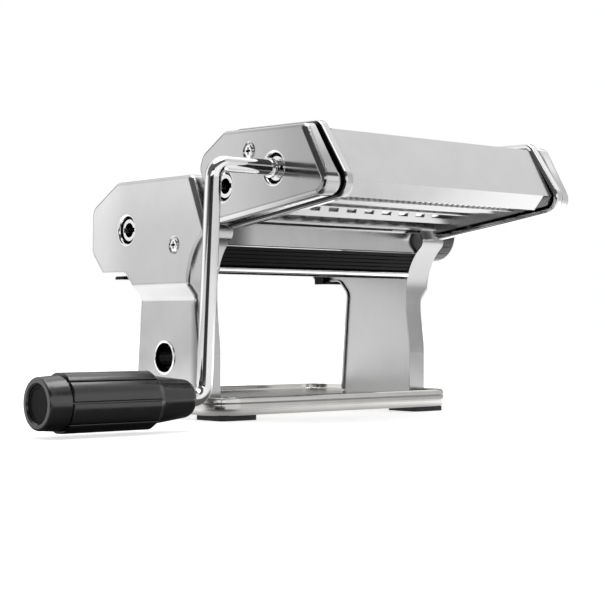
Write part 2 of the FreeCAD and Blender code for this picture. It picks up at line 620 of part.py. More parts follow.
kn = revolve_x([(90.4, REG_R + 0.06), (90.4, 14.6), (91.0, 15.2), (92.6, KNOB_R), (105.6, KNOB_R - 0.7),
                (106.6, KNOB_R - 1.2), (107.2, KNOB_R - 2.6), (107.2, 6.6), (94.4, 6.6),
                (94.4, REG_R + 0.06)], REG_Y, REG_Z)
for i in range(20):
    a = math.radians(18.0 * i + 9.0)
    kn = kn.cut(cyl_x(1.1, 92.2, 106.0, REG_Y + (KNOB_R + 0.35) * math.cos(a), REG_Z + (KNOB_R + 0.35) * math.sin(a)))
kn = fuse([kn, cyl_x(1.2, 87.6, 92.0, REG_Y + 12.0, REG_Z)])
add("thickness_knob", kn)
ks = revolve_x([(103.6, 0.0), (103.6, 5.6), (105.0, 5.6), (105.6, 5.0), (105.6, 0.0)], REG_Y, REG_Z)
ks = ks.cut(cross_recess(2.2, 1.0, 105.6, 1, REG_Y, REG_Z))
add("knob_retaining_screw", ks)


# conical spring washers between the bottom of the knob's well and the screw
washers = []
for i in range(4):
    a, b = 99.0 + 1.05 * i, 99.0 + 1.05 * i + 0.65
    r0, r1 = (3.3, 5.6) if i % 2 == 0 else (5.6, 3.3)
    washers.append(revolve_x([(a, r0), (a + 0.35, r0), (b + 0.35, r1), (b, r1)], REG_Y, REG_Z))
add("knob_spring", washers)


# ----------------------------------------------------------------------------
# cutter head
# ----------------------------------------------------------------------------
def loft_x(pa, xa, pb, xb):
    return Part.makeLoft([ring(pa, yz(xa)), ring(pb, yz(xb))], True, True)


def end_cap():
    # the wall widens towards the bead, then dips and forms a groove in front of it
    top = offset_poly(CAP, CAP_ROLL)
    t = 1.0 - GROOVE_W / (FACE_X - BEAD_X0)
    crest = [tuple(a + (b - a) * t for a, b in zip(p, q)) for p, q in zip(top, CAP_FOOT)]
    wall = loft_x(top, -FACE_X, crest, -BEAD_X0 - GROOVE_W)
    wall = fillet_where(wall, 3.2, lambda e: abs(mid(e).x + FACE_X) < 1e-3 and abs(e.Vertexes[0].X + FACE_X) < 1e-3)
    neck = loft_x(crest, -BEAD_X0 - GROOVE_W, offset_poly(CAP_FOOT, -GROOVE), -BEAD_X0)
    bead = prism_x(offset_poly(CAP_FOOT, BEAD), -BEAD_X0, -BEAD_X1)
    bead = fillet_where(bead, 1.6, lambda e: abs(mid(e).x + BEAD_X0) < 1e-3)
    bead = fillet_where(bead, 1.2, lambda e: abs(mid(e).x + BEAD_X1) < 1e-3)
    body = wall.fuse(neck).fuse(bead)
    hollow = loft_x(offset_poly(CAP, CAP_ROLL - SHEET), -FACE_X + SHEET, offset_poly(CAP_FOOT, -1.7), -BEAD_X0 - 1.5)
    hollow = fillet_where(hollow, 2.5, lambda e: abs(mid(e).x + FACE_X - SHEET) < 1e-3 and
                          abs(e.Vertexes[0].X + FACE_X - SHEET) < 1e-3)
    neck_in = prism_x(offset_poly(CAP_FOOT, -1.7), -BEAD_X0 - 1.6, -BEAD_X0 + 1.0)
    mouth = prism_x(offset_poly(CAP_FOOT, -1.0), -BEAD_X0 + 0.8, -BEAD_X1 + 1.0)
    return body.cut(hollow).cut(neck_in).cut(mouth).removeSplitter()


cap = end_cap()
CS_Y, CS_Z = -86.1, 136.7
cap = seated(cap, CS_Y, CS_Z)
near_cap = cap
for y, z in (A1, B1):
    near_cap = near_cap.cut(cyl_x(RING_R, -100, -80, y, z))
add("cutter_cap_crank_side", near_cap)
add("cutter_cap_knob_side", mirror_x(cap))
add("cutter_socket_rings", [socket_ring(A1[0], A1[1]), socket_ring(B1[0], B1[1])])

add("cutter_cap_screws", [
    screw_x(-FACE_X + SEAT, -1, CS_Y, CS_Z, head_r=3.5, length=6.5, shank_r=1.88),
    screw_x(FACE_X - SEAT, 1, CS_Y, CS_Z, head_r=3.5, length=6.5, shank_r=1.88)])


def end_plate():
    s = prism_x(offset_poly(CAP_FOOT, -2.5), -PLATE_OUT, -PLATE_IN)
    # room for the lower lip of the front panel
    s = s.cut(prism_x([(-144.6, 120.0), (-143.7, 119.2), (-139.6, 110.6), (-150.0, 106.0), (-156.0, 119.0)],
                      -PLATE_OUT - 1, -PLATE_IN + 1))
    lug = fuse([box(-82.6, -81.0, -93.0, -79.2, 130.8, 144.6), box(-82.6, -PLATE_OUT + 0.2, -93.0, -79.2, 143.0, 144.6)])
    s = fuse([s, lug])
    s = s.cut(cyl_x(1.9, -86, -80, CS_Y, CS_Z))
    return s


ep = end_plate()
near_ep = ep
for y, z in (A1, B1):
    near_ep = near_ep.cut(cyl_x(7.6, -82, -70, y, z))
for y, z in (A2, B2):
    near_ep = near_ep.cut(cyl_x(5.6, -82, -70, y, z))
far_ep = mirror_x(ep)
for y, z in (A1, B1, A2, B2):
    far_ep = far_ep.cut(cyl_x(5.6, 70, 82, y, z))
CUT_RODS = [(-95.5, 114.6), (-94.5, 139.5)]
for y, z in CUT_RODS:
    near_ep = near_ep.cut(cyl_x(1.6, -82, -70, y, z))
    far_ep = far_ep.cut(cyl_x(1.6, 70, 82, y, z))
add("cutter_end_plate_crank_side", near_ep)
add("cutter_end_plate_knob_side", far_ep)

cb = []
for y, z in (A1, B1):
    cb.append(revolve_x([(-71.2, SHAFT_R + RUN), (-71.2, 7.6), (-73.0, 7.6), (-73.0, 8.4), (-73.8, 8.4),
                         (-73.8, SHAFT_R + RUN)], y, z))
for y, z in (A2, B2):
    cb.append(revolve_x([(-71.2, 4.0 + RUN), (-71.2, 5.6), (-73.0, 5.6), (-73.0, 6.4), (-73.8, 6.4),
                         (-73.8, 4.0 + RUN)], y, z))
for y, z in (A1, B1, A2, B2):
    cb.append(mirror_x(revolve_x([(-71.2, 4.0 + RUN), (-71.2, 5.6), (-73.0, 5.6), (-73.0, 6.4), (-73.8, 6.4),
                                  (-73.8, 4.0 + RUN)], y, z)))
add("cutter_roller_bushes", cb)

crods = []
csc = []
for y, z in CUT_RODS:
    crods.append(cyl_x(2.4, -PLATE_IN, PLATE_IN, y, z).cut(cyl_x(1.5, -PLATE_IN - 1, -PLATE_IN + 6, y, z))
                 .cut(cyl_x(1.5, PLATE_IN - 6, PLATE_IN + 1, y, z)))
    for sx in (-1, 1):
        csc.append(screw_x(sx * PLATE_OUT, sx, y, z, head_r=2.4, head_h=1.3, length=6.0, shank_r=1.48))
add("cutter_tie_rods", crods)
add("cutter_frame_screws", csc)

def slant_keep():
    """Wedge on the -X side of the slanted end line of the lip."""
    w = Part.Face(Part.makePolygon([V(50.0, -151.0, 100.0), V(57.0, -151.0, 100.0), V(65.6, -151.0, 118.6),
                                    V(65.6, -151.0, 120.0), V(50.0, -151.0, 120.0), V(50.0, -151.0, 100.0)]))
    return w.extrude(V(0, 14.0, 0))


front_panel = strip([(-140.9, 111.4), (-144.5, 119.1), (-127.9, 145.5), (-120.6, 145.7), (-116.8, 137.4)],
                    0.6, -PLATE_IN, PLATE_IN, side=-1)
front_wide = strip([(-140.9, 111.4), (-144.5, 119.1), (-128.2, 145.02)], 0.6, -BEAD_X1 + 0.05, BEAD_X1 - 0.05, side=-1)
# the lower lip stops short of the knob-side cap with a slanted end
lip_end = prism_x([(-150.0, 104.0), (-150.0, 119.2), (-138.0, 119.2), (-138.0, 104.0)], 60.0, 80.0)
lip_end = lip_end.cut(slant_keep())
add("cutter_front_panel", fuse([front_panel, front_wide]).cut(lip_end))
back_panel = strip([(-72.4, 136.6), (-71.2, 146.0), (-64.9, 146.4), (-48.0, 137.0), (-45.7, 131.2),
                    (-57.4, 105.0), (-58.4, 104.2), (-63.0, 104.9)], 0.6, -PLATE_IN, PLATE_IN, side=-1)
add("cutter_feed_divider", strip([(-107.6, 139.0), (-99.5, 144.9), (-89.4, 145.3), (-80.0, 137.6)], 0.6,
                                 -PLATE_IN, PLATE_IN, side=-1))


def cut_roller(y, z, centres, disc, x_neck0, x_neck1, shaft_near, shaft_far):
    """Cutting roller: discs of the given width on a plain core, turned in one go."""
    prof = [(-shaft_near[0], 0.0), (-shaft_near[0], shaft_near[1]), (-70.4, shaft_near[1]),
            (-70.4, CUT_CORE)]
    for c in centres:
        a, b = c - disc / 2.0, c + disc / 2.0
        prof += [(a, CUT_CORE), (a, CUT_R), (b, CUT_R), (b, CUT_CORE)]
    prof += [(70.4, CUT_CORE), (70.4, shaft_far[1]), (shaft_far[0], shaft_far[1]), (shaft_far[0], 0.0)]
    return revolve_x(prof, y, z)


thin_drive_c = [-68.0 + 4.0 * k for k in range(35)]
thin_follow_c = [-66.0 + 4.0 * k for k in range(34)]
wide_drive_c = [-58.5 + 13.0 * k for k in range(10)]
wide_follow_c = [-65.0 + 13.0 * k for k in range(11)]
DISC_T, DISC_W = 1.9, 6.4

t1 = cut_roller(A1[0], A1[1], thin_drive_c, DISC_T, 0, 0, (-SOCKET_X, SHAFT_R), (76.0, 4.0))
t1 = t1.cut(socketed(A1[0], A1[1], SOCKET_X))
add("narrow_cutter_drive_roller", t1)
add("narrow_cutter_follower_roller", cut_roller(A2[0], A2[1], thin_follow_c, DISC_T, 0, 0, (81.0, 4.0), (76.0, 4.0)))
w1 = cut_roller(B1[0], B1[1], wide_drive_c, DISC_W, 0, 0, (-SOCKET_X, SHAFT_R), (76.0, 4.0))
w1 = w1.cut(socketed(B1[0], B1[1], SOCKET_X))
add("wide_cutter_drive_roller", w1)
add("wide_cutter_follower_roller", cut_roller(B2[0], B2[1], wide_follow_c, DISC_W, 0, 0, (81.0, 4.0), (76.0, 4.0)))

CM, CT = 1.2, 16
C_TIP, C_ROOT = 10.7, 8.05


def cutter_gears(p, q, name_p, name_q, bore_p, bore_q):
    a = math.atan2(q[1] - p[1], q[0] - p[0])
    gp_ = gear_face(CM, CT, C_TIP, C_ROOT, a, 0.30, -80.2, p[0], p[1]).extrude(V(5.4, 0, 0))
    gp_ = gp_.cut(cyl_x(bore_p, -84, -72, p[0], p[1]))
    add(name_p, gp_)
    b = math.atan2(p[1] - q[1], p[0] - q[0])
    gq_ = gear_face(CM, CT, C_TIP, C_ROOT, b + math.pi / CT, 0.30, -80.2, q[0], q[1]).extrude(V(5.4, 0, 0))
    gq_ = gq_.cut(cyl_x(bore_q, -84, -72, q[0], q[1]))
    add(name_q, gq_)


cutter_gears(A1, A2, "narrow_cutter_drive_gear", "narrow_cutter_follower_gear", SHAFT_R, 4.0)
cutter_gears(B1, B2, "wide_cutter_drive_gear", "wide_cutter_follower_gear", SHAFT_R, 4.0)


def comb(c, other, disc_centres, disc, drop, length, bar):
    """Flat comb lying against the core of one roller, with a tine in every gap."""
    ang = math.atan2(other[1] - c[1], other[0] - c[0])
    phi = ang + math.radians(drop)
    r = CUT_CORE + 0.35
    t = (c[0] + r * math.cos(phi), c[1] + r * math.sin(phi))
    s = 1.0 if drop > 0 else -1.0
    d = (-math.sin(phi) * s, math.cos(phi) * s)          # along the comb, away from the nip
    n = (math.cos(phi), math.sin(phi))                   # away from the core
    gaps = []
    cs = sorted(disc_centres)
    for a, b in zip(cs[:-1], cs[1:]):
        gaps.append((a + disc / 2.0, b - disc / 2.0))
    lo = -2.2
    pts = [(-PLATE_IN, length), (-PLATE_IN, length - bar)]
    for a, b in gaps:
        m = (a + b) / 2.0
        h = (b - a) / 2.0 - 0.3
        pts += [(m - h, length - bar), (m - h, lo), (m + h, lo), (m + h, length - bar)]
    pts += [(PLATE_IN, length - bar), (PLATE_IN, length)]
    vs = [V(p[0], t[0] + d[0] * p[1], t[1] + d[1] * p[1]) for p in pts]
    vs.append(vs[0])
    return Part.Face(Part.makePolygon(vs)).extrude(V(0, n[0] * 0.7, n[1] * 0.7))


combs_n = [comb(A1, A2, thin_drive_c, DISC_T, 34.0, 11.0, 3.2),
           comb(A2, A1, thin_follow_c, DISC_T, -34.0, 7.6, 2.4)]
add("narrow_cutter_combs", combs_n)
combs_w = [comb(B1, B2, wide_drive_c, DISC_W, 34.0, 10.2, 3.0),
           comb(B2, B1, wide_follow_c, DISC_W, -34.0, 9.4, 3.0)]
add("wide_cutter_combs", combs_w)

# rails on the body and tongues on the cutter head
rails, tongues = [], []
for sx in (-1, 1):
    parts = [box(50.6, 61.4, -47.4, -46.6, 105.6, 114.2), box(50.6, 51.6, -51.2, -46.6, 105.6, 114.2),
             box(60.4, 61.4, -51.2, -46.6, 105.6, 114.2), box(50.6, 53.4, -51.2, -50.3, 105.6, 114.2),
             box(58.6, 61.4, -51.2, -50.3, 105.6, 114.2), box(50.6, 61.4, -51.2, -46.6, 105.6, 106.6),
             prism_x([(-46.7, 107.4), (-44.32, 107.4), (-43.59, 109.0), (-46.7, 109.0)], 52.0, 60.0)]
    r = fuse(parts)
    rails.append(r if sx > 0 else mirror_x(r))
    t = fuse([box(52.2, 59.8, -49.8, -48.0, 106.65, 118.0), box(52.2, 59.8, -53.2, -48.0, 115.6, 118.0)])
    tongues.append(t if sx > 0 else mirror_x(t))
add("cutter_rails", rails)
add("cutter_back_panel", fuse([back_panel] + tongues))

# ----------------------------------------------------------------------------
# crank
# ----------------------------------------------------------------------------
dy, dz = GRIP_Y - A1[0], GRIP_Z - A1[1]
arm_len = math.hypot(dy, dz)
D = (dy / arm_len, dz / arm_len)


def on_crank(x, s):
    return V(x, A1[0] + D[0] * s, A1[1] + D[1] * s)


def bend_mid(cx, cs, ax, as_):
    return on_crank(cx + BEND_R * ax, cs + BEND_R * as_)


k = math.sqrt(0.5)
TIP_X = -73.6
path = [
    Part.LineSegment(on_crank(TIP_X, 0), on_crank(ARM_X + BEND_R, 0)).toShape(),
    Part.Arc(on_crank(ARM_X + BEND_R, 0), bend_mid(ARM_X + BEND_R, BEND_R, -k, -k), on_crank(ARM_X, BEND_R)).toShape(),
    Part.LineSegment(on_crank(ARM_X, BEND_R), on_crank(ARM_X, arm_len - BEND_R)).toShape(),
    Part.Arc(on_crank(ARM_X, arm_len - BEND_R), bend_mid(ARM_X - BEND_R, arm_len - BEND_R, k, k),
             on_crank(ARM_X - BEND_R, arm_len)).toShape(),
    Part.LineSegment(on_crank(ARM_X - BEND_R, arm_len), on_crank(-205.2, arm_len)).toShape()]
pw = Part.Wire(path)
prof = Part.Wire([Part.makeCircle(CRANK_R, on_crank(TIP_X, 0), V(1, 0, 0))])
rod = pw.makePipeShell([prof], True, True)
key = Part.makeCylinder(0.95, 9.9, V(-81.0, A1[0] - 4.95, A1[1]), V(0, 1, 0))
rod = rod.cut(key)
# two shoulders pressed in the stub where it stops against the socket
ret = revolve_x([(-205.0, 3.0), (-205.0, 6.4), (-203.2, 6.4), (-203.2, 3.0)], GRIP_Y, GRIP_Z)
rod = fuse([rod, ret, revolve_x([(-90.2, 3.9), (-90.2, 4.8), (-91.4, 4.8), (-91.9, 3.9)], A1[0], A1[1])])
add("crank_rod", rod)
add("crank_key_pin", key)

# grip: plain tapering nose, middle with eight broad ribs, short cylinder with
# the recess for the plug
gprof = [(-135.5, 4.0 + 0.07), (-135.5, 7.0), (-135.7, 7.6), (-136.2, 8.2), (-137.0, 8.7), (-138.2, 9.1),
         (-156.0, 11.3), (-160.5, 12.0), (-199.0, 12.5), (-206.0, 12.6), (-213.6, 12.05), (-215.9, 11.95),
         (-216.5, 11.75), (-216.9, 11.4), (-217.0, 10.9), (-217.0, 9.4), (-216.2, 8.6), (-202.2, 8.6),
         (-202.2, 4.0 + 0.07)]
grip = revolve_x(gprof, GRIP_Y, GRIP_Z)
RIBS, RIB_R = 8, 13.95
ribs = []
for i in range(RIBS):
    c = 2.0 * math.pi * i / RIBS + math.radians(20.5)
    half = math.pi / RIBS

    def at(r, t):
        return V(0, r * math.cos(c + half * t), r * math.sin(c + half * t))
    edges = [Part.LineSegment(at(11.0, -0.94), at(13.05, -0.94)).toShape(),
             Part.Arc(at(13.05, -0.94), at(13.4, -0.915), at(13.6, -0.83)).toShape(),
             Part.Arc(at(13.6, -0.83), at(RIB_R, 0.0), at(13.6, 0.83)).toShape(),
             Part.Arc(at(13.6, 0.83), at(13.4, 0.915), at(13.05, 0.94)).toShape(),
             Part.LineSegment(at(13.05, 0.94), at(11.0, 0.94)).toShape(),
             Part.LineSegment(at(11.0, 0.94), at(11.0, -0.94)).toShape()]
    rib = Part.Face(Part.Wire(edges)).extrude(V(56.0, 0, 0))
    rib.translate(V(-205.8, GRIP_Y, GRIP_Z))
    ribs.append(rib)
lim = revolve_x([(-205.8, 10.0), (-205.8, 13.4), (-205.1, 14.2), (-160.4, 14.2), (-156.2, 11.6), (-156.2, 10.0)],
                GRIP_Y, GRIP_Z)
ribs = [r.common(lim) for r in ribs]
grip = fuse([grip] + ribs)
add("crank_grip", grip)
add("grip_end_plug", revolve_x([(-215.6, 0.0), (-215.6, 6.9), (-215.9, 7.4), (-215.9, 8.2), (-215.5, 8.6),
                                (-213.0, 8.6), (-213.0, 0.0)], GRIP_Y, GRIP_Z))

# ----------------------------------------------------------------------------
# write one file per node
# ----------------------------------------------------------------------------
os.makedirs("parts", exist_ok=True)
total = None
for name, shape in PARTS.items():
    s = shape.copy()
    s.translate(SHIFT)
    bb = s.BoundBox
    total = bb if total is None else total.united(bb)
    ok = s.isValid()
    print("%-30s solids %2d faces %4d vol %10.1f valid %s" % (name, len(s.Solids), len(s.Faces), s.Volume, ok))
    s.exportStep("parts/%s.step" % name)
print("nodes", len(PARTS))
print("box X %.2f..%.2f Y %.2f..%.2f Z %.2f..%.2f" % (total.XMin, total.XMax, total.YMin, total.YMax, total.ZMin, total.ZMax))
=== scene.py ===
import math
import bpy
import bmesh
from mathutils import Matrix, Vector

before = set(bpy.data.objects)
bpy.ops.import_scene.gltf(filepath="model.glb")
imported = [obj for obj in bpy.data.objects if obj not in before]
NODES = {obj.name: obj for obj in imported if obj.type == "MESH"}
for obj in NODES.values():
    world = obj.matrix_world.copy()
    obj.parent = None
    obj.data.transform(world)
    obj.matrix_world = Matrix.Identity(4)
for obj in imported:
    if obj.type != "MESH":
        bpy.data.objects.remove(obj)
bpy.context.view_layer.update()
scene = bpy.context.scene

# the working frame of the part, in metres, seen from the row frame
SX, SY = 0.0549, 0.0405


def W(x, y, z):
    """Point of the working frame in millimetres -> row frame in metres."""
    return Vector((x / 1000 + SX, y / 1000 + SY, z / 1000))


# ---------------------------------------------------------------- materials
def new_mat(name):
    m = bpy.data.materials.new(name)
    m.use_nodes = True
    nt = m.node_tree
    nt.nodes.clear()
    out = nt.nodes.new("ShaderNodeOutputMaterial")
    bsdf = nt.nodes.new("ShaderNodeBsdfPrincipled")
    nt.links.new(bsdf.outputs[0], out.inputs[0])
    return m, nt, bsdf


def coords(nt, scale=(1, 1, 1)):
    tc = nt.nodes.new("ShaderNodeTexCoord")
    mp = nt.nodes.new("ShaderNodeMapping")
    mp.inputs["Scale"].default_value = scale
    nt.links.new(tc.outputs["Object"], mp.inputs["Vector"])
    return mp.outputs["Vector"]


def noise(nt, vec, scale, detail=3.0, rough=0.5, distort=0.0):
    n = nt.nodes.new("ShaderNodeTexNoise")
    n.inputs["Scale"].default_value = scale
    n.inputs["Detail"].default_value = detail
    n.inputs["Roughness"].default_value = rough
    n.inputs["Distortion"].default_value = distort
    nt.links.new(vec, n.inputs["Vector"])
    return n.outputs["Fac"]


def remap(nt, fac, a, b, lo=0.3, hi=0.7):
    r = nt.nodes.new("ShaderNodeMapRange")
    r.inputs["From Min"].default_value = lo
    r.inputs["From Max"].default_value = hi
    r.inputs["To Min"].default_value = a
    r.inputs["To Max"].default_value = b
    nt.links.new(fac, r.inputs["Value"])
    return r.outputs["Result"]


def ramp(nt, fac, c0, c1, p0=0.3, p1=0.7):
    r = nt.nodes.new("ShaderNodeValToRGB")
    r.color_ramp.elements[0].position = p0
    r.color_ramp.elements[0].color = (*c0, 1)
    r.color_ramp.elements[1].position = p1
    r.color_ramp.elements[1].color = (*c1, 1)
    nt.links.new(fac, r.inputs["Fac"])
    return r.outputs["Color"]


def bump(nt, bsdf, height, strength, dist):
    b = nt.nodes.new("ShaderNodeBump")
    b.inputs["Strength"].default_value = strength
    b.inputs["Distance"].default_value = dist
    nt.links.new(height, b.inputs["Height"])
    nt.links.new(b.outputs["Normal"], bsdf.inputs["Normal"])
    return b


def math_node(nt, op, a, b=None):
    x = nt.nodes.new("ShaderNodeMath")
    x.operation = op
    for i, v in enumerate((a, b)):
        if v is None:
            continue
        if isinstance(v, (int, float)):
            x.inputs[i].default_value = v
        else:
            nt.links.new(v, x.inputs[i])
    return x.outputs[0]


def smooth(nt, val, lo, hi, a=0.0, b=1.0):
    r = nt.nodes.new("ShaderNodeMapRange")
    r.interpolation_type = "SMOOTHSTEP"
    r.inputs["From Min"].default_value = lo
    r.inputs["From Max"].default_value = hi
    r.inputs["To Min"].default_value = a
    r.inputs["To Max"].default_value = b
    nt.links.new(val, r.inputs["Value"])
    return r.outputs["Result"]


def place(nt):
    """X, Y, Z of the working frame in metres, fixed to the piece."""
    tc = nt.nodes.new("ShaderNodeTexCoord")
    sp = nt.nodes.new("ShaderNodeSeparateXYZ")
    nt.links.new(tc.outputs["Object"], sp.inputs[0])
    return (math_node(nt, "SUBTRACT", sp.outputs["X"], SX), math_node(nt, "SUBTRACT", sp.outputs["Y"], SY),
            sp.outputs["Z"])


def from_axis(nt, y, z):
    """Distance in metres from the X line through (y, z) mm of the working frame."""
    _, py, pz = place(nt)
    dy, dz = math_node(nt, "SUBTRACT", py, y / 1000), math_node(nt, "SUBTRACT", pz, z / 1000)
    return math_node(nt, "SQRT", math_node(nt, "ADD", math_node(nt, "MULTIPLY", dy, dy),
                                           math_node(nt, "MULTIPLY", dz, dz)))


def hole(nt, y, z, r, x_min=0.0, x_max=1.0):
    """1 inside the cylinder of radius r round the X line through (y, z), x_min < |x| < x_max, all mm."""
    f = math_node(nt, "LESS_THAN", from_axis(nt, y, z), r / 1000)
    ax = math_node(nt, "ABSOLUTE", place(nt)[0])
    f = math_node(nt, "MULTIPLY", f, math_node(nt, "GREATER_THAN", ax, x_min / 1000))
    return math_node(nt, "MULTIPLY", f, math_node(nt, "LESS_THAN", ax, x_max / 1000))


def metal(name, tone, rough, vary=0.04, smudge=55.0, grain=(1, 1, 1), grain_scale=900.0, grain_h=0.0, tint=(1, 1, 1),
          painted_light=None, painted_shade=None):
    """Stainless steel: soft patches in the polish and a fine grain along one direction. wear(nt) gives a factor on
    the tone that paints light and shade into it, soot(nt) is 1 in the recesses that hold no light, which are painted
    near-black as painted shade."""
    m, nt, b = new_mat(name)
    c0 = tuple(tone * 0.955 * t for t in tint)
    c1 = tuple(min(1.0, tone * 1.03) * t for t in tint)
    soft = noise(nt, coords(nt), smudge, 4.0, 0.55)
    colour = ramp(nt, soft, c0, c1)
    if painted_light:
        x = nt.nodes.new("ShaderNodeMixRGB")
        x.blend_type = "MULTIPLY"
        x.inputs["Fac"].default_value = 1.0
        nt.links.new(colour, x.inputs["Color1"])
        nt.links.new(painted_light(nt), x.inputs["Color2"])
        colour = x.outputs[0]
    if painted_shade:
        x = nt.nodes.new("ShaderNodeMixRGB")
        # near-black colour of the painted shade
        x.inputs["Color2"].default_value = (0.012, 0.012, 0.012, 1)
        nt.links.new(painted_shade(nt), x.inputs["Fac"])
        nt.links.new(colour, x.inputs["Color1"])
        colour = x.outputs[0]
    nt.links.new(colour, b.inputs["Base Color"])
    nt.links.new(remap(nt, soft, rough - vary, rough + vary), b.inputs["Roughness"])
    b.inputs["Metallic"].default_value = 1.0
    if grain_h > 0:
        g = noise(nt, coords(nt, grain), grain_scale, 5.0, 0.65)
        bump(nt, b, g, grain_h, 0.00002)
    return m


def plastic(name, tone, rough, grain_scale=2600.0, grain_h=0.12, vary=0.06, spec=0.5, coat=0.0):
    m, nt, b = new_mat(name)
    soft = noise(nt, coords(nt), 140.0, 4.0, 0.6)
    nt.links.new(ramp(nt, soft, tuple(t * 0.8 for t in tone), tuple(t * 1.25 for t in tone)), b.inputs["Base Color"])
    nt.links.new(remap(nt, soft, rough - vary, rough + vary), b.inputs["Roughness"])
    b.inputs["Specular IOR Level"].default_value = spec
    if coat > 0:
        b.inputs["Coat Weight"].default_value = coat
        b.inputs["Coat Roughness"].default_value = 0.12
    g = noise(nt, coords(nt), grain_scale, 3.0, 0.6)
    bump(nt, b, g, grain_h, 0.00005)
    return m


def cover_painted_light(nt):
    """Painted light and shade on the satin plate: its tone is painted lightest towards the rear and the top, and
    darker on the knob side.
    """
    x, y, z = place(nt)
    f = math_node(nt, "ADD", smooth(nt, y, 0.016, 0.054, 0.90, 1.17), smooth(nt, z, 0.100, 0.126, 0.0, 0.13))
    f = math_node(nt, "MULTIPLY", math_node(nt, "MINIMUM", f, 1.22), smooth(nt, x, 0.0, 0.04, 1.0, 0.80))
    # painted dark strip along the front edge of the crank-side leg, painted shade and dark reflection
    edge = math_node(nt, "MULTIPLY", smooth(nt, y, -0.0345, -0.0285, 1.0, 0.0), smooth(nt, y, -0.0360, -0.0351))
    edge = math_node(nt, "MULTIPLY", edge, smooth(nt, z, 0.0600, 0.0640, 0.55, 0.0))
    edge = math_node(nt, "MULTIPLY", edge, smooth(nt, x, -0.02, 0.0, 1.0, 0.0))
    return math_node(nt, "MULTIPLY", f, math_node(nt, "SUBTRACT", 1.0, edge))


def cap_painted_light(nt):
    """Painted light and shade: the flat face is painted darker towards the nose, the wall and the bead are painted
    bright, brightest on the knob side, and the groove is painted near-black as shade.
    """
    x, y, _ = place(nt)
    out = math_node(nt, "ABSOLUTE", x)
    face = smooth(nt, out, 0.0868, 0.0886)
    tone = smooth(nt, y, -0.134, -0.062, 0.70, 1.04)
    wall = smooth(nt, x, -0.05, 0.05, 1.26, 1.55)
    groove = math_node(nt, "MULTIPLY", smooth(nt, out, 0.07835, 0.07880), smooth(nt, out, 0.0803, 0.0812, 1.0, 0.0))
    f = math_node(nt, "ADD", math_node(nt, "MULTIPLY", face, tone),
                  math_node(nt, "MULTIPLY", math_node(nt, "SUBTRACT", 1.0, face), wall))
    return math_node(nt, "MULTIPLY", f, smooth(nt, groove, 0.0, 1.0, 1.0, 0.06))


def sheet_painted_shadow(nt):
    """Painted shadow: the end of the front sheet beside the crank-side flange is painted darker."""
    return smooth(nt, place(nt)[0], -0.0650, -0.0480, 0.24, 1.0)


def base_painted_shade(nt):
    """Painted shade and light: the skirt is painted a little darker than the tray, dark in the pressed line and along
    its lower edge, and the top of the tray is painted lighter.
    """
    z = place(nt)[2]
    f = smooth(nt, z, 0.0030, 0.0052, 0.55, 0.86)
    line = math_node(nt, "ABSOLUTE", math_node(nt, "SUBTRACT", z, 0.0093))
    f = math_node(nt, "MULTIPLY", f, smooth(nt, line, 0.0002, 0.0006, 0.35, 1.0))
    return math_node(nt, "ADD", f, smooth(nt, z, 0.0094, 0.0099, 0.0, 0.16))


# painted shade: 1 within 1.85 mm of each screw axis, where the screws are painted near-black
def screw_painted_shade(nt):
    f = hole(nt, -22.2, 92.4, 1.85, 80, 89.5)
    for y, z in ((-86.1, 136.7), (44.0, 98.0)):
        f = math_node(nt, "ADD", f, hole(nt, y, z, 1.85, 80, 89.5))
    return f


